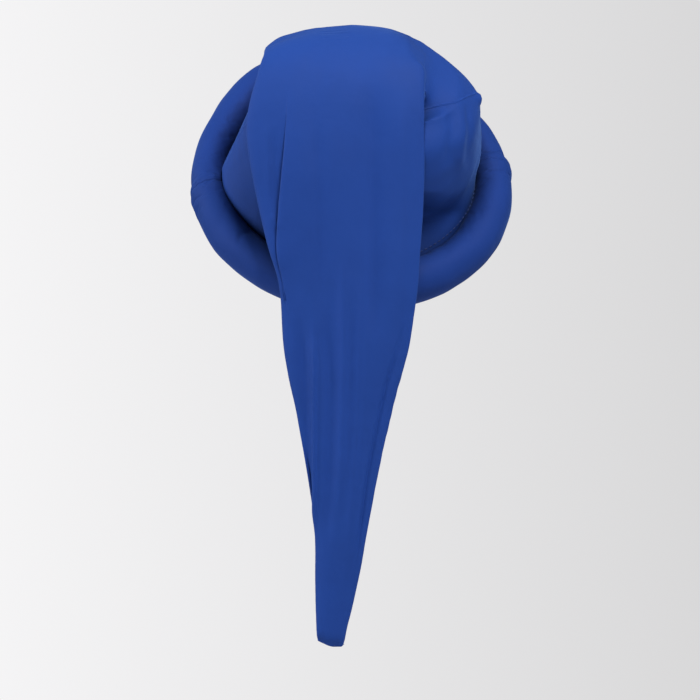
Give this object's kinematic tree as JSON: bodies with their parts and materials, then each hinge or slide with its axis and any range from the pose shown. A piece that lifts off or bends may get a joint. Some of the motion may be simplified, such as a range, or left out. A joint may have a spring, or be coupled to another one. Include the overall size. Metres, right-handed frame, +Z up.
{
  "type": "elf hat",
  "caption": "Soft pointed elf hat with a stuffed roll round the head opening and a long flat tail that folds over the top and hangs down the back.",
  "frame": {"origin": "middle of the head opening, at the centre of the stuffed roll's ring, where the hat sits on the head", "axes": "+Z up as the hat is worn, with the tail hanging down; -Y the way the wearer faces; +Y the side on which the tail hangs; -X the wearer's right"},
  "size_m": [0.2941, 0.2349, 0.5452],
  "materials": {
    "blue_cloth_roll": "matte woven polyester over soft filling",
    "blue_cloth": "matte woven polyester with a faint sheen"
  },
  "bodies": {
    "root": {"roll_front": "blue_cloth_roll", "roll_back": "blue_cloth_roll", "front_panel": "blue_cloth", "back_panel": "blue_cloth"}
  },
  "joints": []
}
